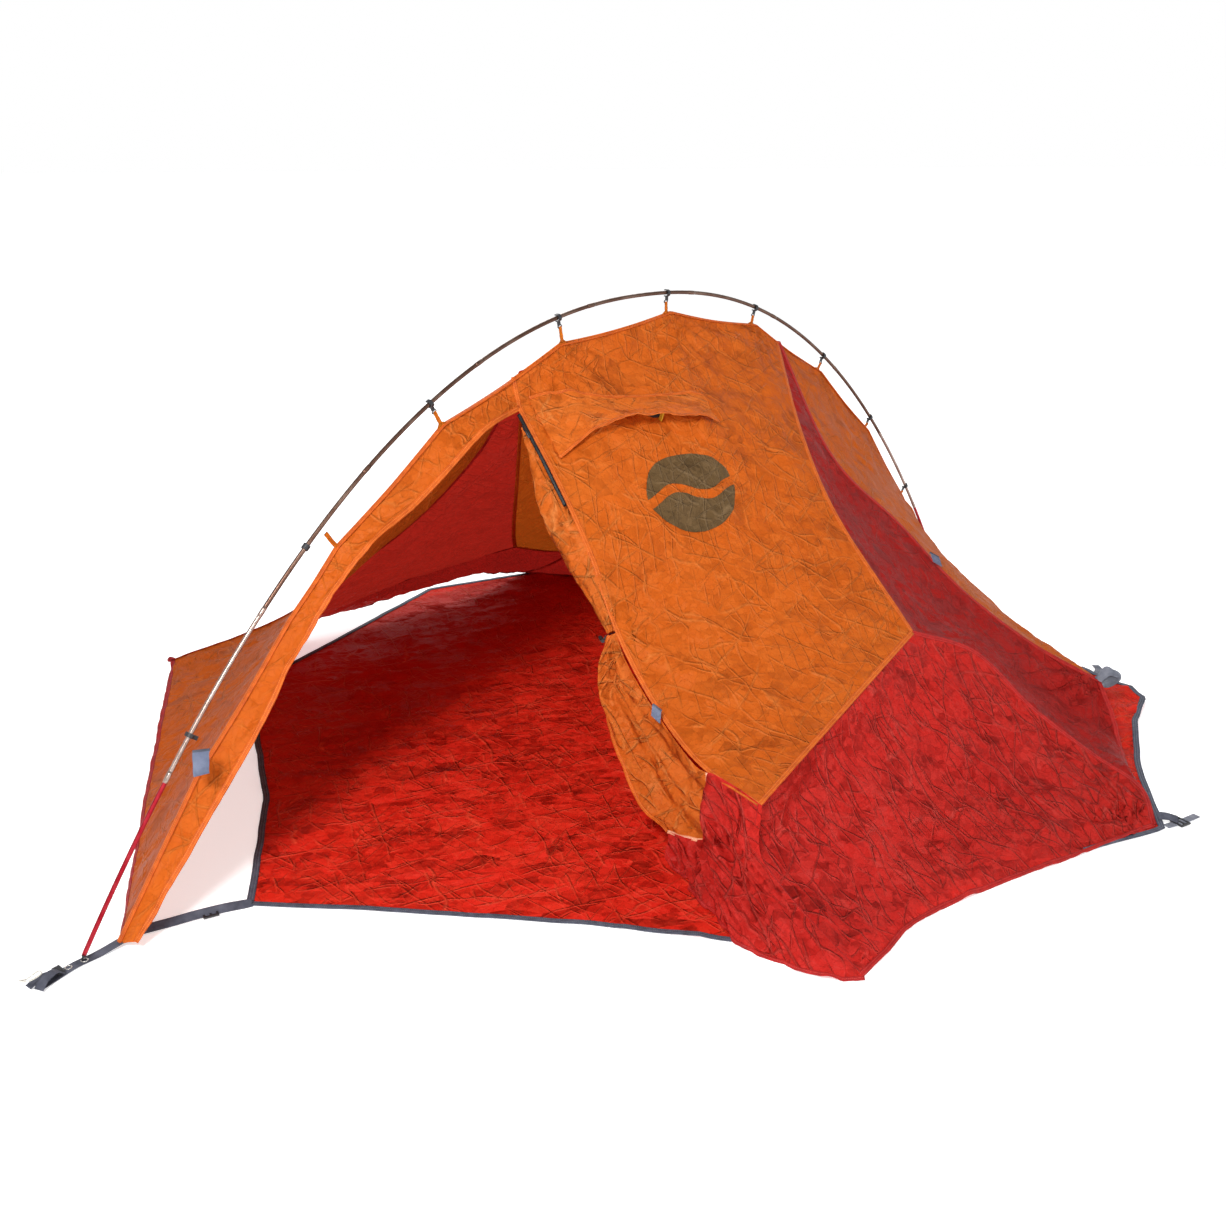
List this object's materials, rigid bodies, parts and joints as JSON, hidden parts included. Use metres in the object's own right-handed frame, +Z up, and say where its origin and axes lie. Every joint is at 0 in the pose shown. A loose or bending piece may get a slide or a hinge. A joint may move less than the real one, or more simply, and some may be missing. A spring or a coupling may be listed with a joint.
{
  "type": "tent on poles",
  "caption": "Low trekking tent with a diagonal outside pole, a clipped-on fly sheet, a rolled-back near door, a vent hood and a groundsheet.",
  "frame": {"origin": "middle of the groundsheet on the ground, half way between the two feet of the pole", "axes": "+X along the groundsheet's long side towards the end without a door, +Z up, so the rolled-back door faces -Y"},
  "size_m": [2.893, 2.6458, 1.1562],
  "materials": {
    "orange_fabric": "coated ripstop, satin",
    "red_fabric": "coated ripstop, satin",
    "floor_fabric": "coated, semi-gloss",
    "pole_tube": "anodised bronze",
    "red_tube": "anodised red",
    "black_plastic": "moulded",
    "grey_webbing": "woven tape",
    "grey_patch": "coated patch",
    "yellow_plastic": "moulded",
    "elastic": "braided cord"
  },
  "bodies": {
    "tent": {"pole_section_1": "red_tube", "pole_section_2": "pole_tube", "pole_section_3": "pole_tube", "pole_section_4": "pole_tube", "pole_section_5": "pole_tube", "pole_section_6": "pole_tube", "pole_section_7": "pole_tube", "pole_section_8": "pole_tube", "pole_section_9": "pole_tube", "pole_section_10": "pole_tube", "pole_section_11": "red_tube", "shock_cord": "elastic", "fly_near_main": "orange_fabric", "fly_near_lower": "red_fabric", "fly_near_wedge": "red_fabric", "fly_right_end": "orange_fabric", "fly_near_band": "orange_fabric", "fly_far_main": "orange_fabric", "fly_far_lower": "red_fabric", "fly_far_wedge": "red_fabric", "fly_left_end": "orange_fabric", "fly_far_band": "orange_fabric", "far_door_upper": "orange_fabric", "far_door_lower": "red_fabric", "door_roll": "orange_fabric", "door_tail": "orange_fabric", "door_tail_hem": "red_fabric", "door_zip": "black_plastic", "toggle_loop": "black_plastic", "clip_loop_2": "orange_fabric", "groundsheet": "floor_fabric", "foot_webbing_near": "grey_webbing", "foot_webbing_far": "grey_webbing", "floor_strap_near": "grey_webbing", "corner_webbing_right": "grey_webbing", "end_peg_webbing": "grey_webbing", "guy_patch_left": "grey_patch", "guy_patch_right": "grey_patch"},
    "clip_3": {"pole_clip_3": "black_plastic", "clip_loop_3": "orange_fabric"},
    "clip_4": {"pole_clip_4": "black_plastic", "clip_loop_4": "orange_fabric"},
    "clip_5": {"pole_clip_5": "black_plastic", "clip_loop_5": "orange_fabric"},
    "clip_6": {"pole_clip_6": "black_plastic", "clip_loop_6": "orange_fabric"},
    "clip_7": {"pole_clip_7": "black_plastic", "clip_loop_7": "orange_fabric"},
    "clip_8": {"pole_clip_8": "black_plastic", "clip_loop_8": "orange_fabric"},
    "clip_9": {"pole_clip_9": "black_plastic", "clip_loop_9": "orange_fabric"},
    "loose_clip": {"pole_clip_1": "black_plastic"},
    "loose_ring": {"pole_clip_2": "black_plastic"},
    "zip_pull": {"zip_slider": "black_plastic"},
    "vent_flap": {"vent_hood": "orange_fabric"},
    "vent_prop": {"vent_strut": "yellow_plastic"},
    "toggle": {"door_toggle": "black_plastic"},
    "buckle_near": {"ladder_lock_near": "black_plastic"},
    "buckle_right": {"ladder_lock_right": "black_plastic"}
  },
  "joints": [
    {"name": "clip_3_swing", "type": "hinge", "parent": "tent", "child": "clip_3", "pos_m": [-0.5591, -0.3679, 0.9179], "axis": [0.7302, 0.4806, 0.4856], "range_deg": [0, 35]},
    {"name": "clip_4_swing", "type": "hinge", "parent": "tent", "child": "clip_4", "pos_m": [-0.2413, -0.1588, 1.0576], "axis": [0.8187, 0.5388, 0.1985], "range_deg": [0, 35]},
    {"name": "clip_5_swing", "type": "hinge", "parent": "tent", "child": "clip_5", "pos_m": [0.0739, 0.0486, 1.0944], "axis": [0.8344, 0.5491, -0.048], "range_deg": [0, 35]},
    {"name": "clip_6_swing", "type": "hinge", "parent": "tent", "child": "clip_6", "pos_m": [0.3763, 0.2477, 1.0324], "axis": [0.7906, 0.5203, -0.3227], "range_deg": [0, 35]},
    {"name": "clip_7_swing", "type": "hinge", "parent": "tent", "child": "clip_7", "pos_m": [0.6554, 0.4314, 0.8659], "axis": [0.6963, 0.4582, -0.5525], "range_deg": [0, 35]},
    {"name": "clip_8_swing", "type": "hinge", "parent": "tent", "child": "clip_8", "pos_m": [0.8921, 0.5871, 0.6485], "axis": [0.6055, 0.3985, -0.6889], "range_deg": [0, 35]},
    {"name": "clip_9_swing", "type": "hinge", "parent": "tent", "child": "clip_9", "pos_m": [1.1019, 0.7252, 0.381], "axis": [0.5299, 0.3488, -0.773], "range_deg": [0, 35]},
    {"name": "loose_clip_swing", "type": "hinge", "parent": "tent", "child": "loose_clip", "pos_m": [-1.131, -0.7444, 0.3954], "axis": [0.5279, 0.3474, 0.775], "range_deg": [-60, 60]},
    {"name": "loose_ring_turn", "type": "hinge", "parent": "tent", "child": "loose_ring", "pos_m": [-0.8746, -0.5756, 0.7214], "axis": [0.6207, 0.4085, 0.6692], "continuous": true},
    {"name": "zip_slide", "type": "slide", "parent": "tent", "child": "zip_pull", "axis": [0.2838, -0.7, -0.6554], "range_m": [-0.03, 0.06]},
    {"name": "vent_flap_lift", "type": "hinge", "parent": "tent", "child": "vent_flap", "pos_m": [-0.1003, -0.187, 0.9426], "axis": [-0.9618, -0.2615, 0.0804], "range_deg": [0, 25]},
    {"name": "vent_prop_fold", "type": "hinge", "parent": "tent", "child": "vent_prop", "pos_m": [-0.0156, -0.2295, 0.8776], "axis": [0.9618, 0.2615, -0.0804], "range_deg": [0, 50]},
    {"name": "toggle_turn", "type": "hinge", "parent": "tent", "child": "toggle", "pos_m": [-0.248, -0.596, 0.467], "axis": [-0.921, -0.3896, 0], "range_deg": [-45, 45]},
    {"name": "buckle_near_tilt", "type": "hinge", "parent": "tent", "child": "buckle_near", "pos_m": [-1.1455, -0.7851, 0.003], "axis": [0.2571, -0.9664, 0], "range_deg": [0, 70]},
    {"name": "buckle_right_tilt", "type": "hinge", "parent": "tent", "child": "buckle_right", "pos_m": [1.0627, -0.9207, 0.003], "axis": [0.2955, -0.9553, 0], "range_deg": [0, 70]}
  ]
}
